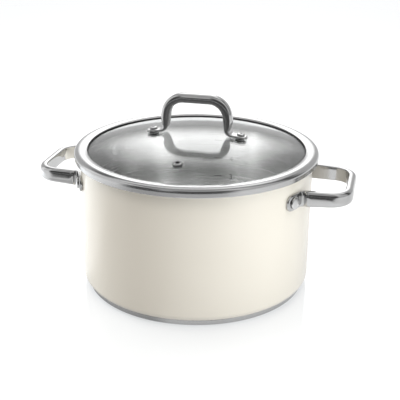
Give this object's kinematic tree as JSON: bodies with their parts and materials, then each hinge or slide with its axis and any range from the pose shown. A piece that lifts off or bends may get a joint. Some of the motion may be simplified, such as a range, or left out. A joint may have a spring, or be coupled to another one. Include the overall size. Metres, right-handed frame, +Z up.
{
  "type": "stock pot with glass lid",
  "caption": "Two-handled enamelled steel stock pot with a sandwich base, riveted loop handles and a lift-off domed glass lid with a steel rim, a bar handle and a steam vent.",
  "frame": {"origin": "centre of the base, on the surface that the pot stands on", "axes": "+X through the side handles, +Y away from the steam vent, +Z up the axis of the pot"},
  "size_m": [0.329, 0.2522, 0.2007],
  "materials": {
    "cream_enamel": "gloss",
    "satin_steel": "satin",
    "polished_steel": "polished",
    "aluminium": "matte",
    "clear_glass": "polished",
    "grey_silicone": "matte"
  },
  "bodies": {
    "pot": {"pot_body": "cream_enamel", "base_cap": "satin_steel", "base_core": "aluminium", "right_handle": "polished_steel", "left_handle": "polished_steel", "rivet_right_front": "polished_steel", "rivet_right_rear": "polished_steel", "rivet_left_front": "polished_steel", "rivet_left_rear": "polished_steel"},
    "lid": {"lid_glass": "clear_glass", "lid_rim_band": "polished_steel", "lid_rim_gasket": "grey_silicone", "lid_handle": "polished_steel", "lid_rivet_right": "polished_steel", "lid_rivet_left": "polished_steel", "lid_washer_upper_right": "grey_silicone", "lid_washer_upper_left": "grey_silicone", "lid_washer_lower_right": "grey_silicone", "lid_washer_lower_left": "grey_silicone", "lid_washer_steel_right": "satin_steel", "lid_washer_steel_left": "satin_steel", "vent_eyelet": "polished_steel", "vent_gasket": "grey_silicone"}
  },
  "joints": [
    {"name": "lid_lift", "type": "slide", "parent": "pot", "child": "lid", "axis": [0, 0, 1], "range_m": [0, 0.15]}
  ]
}
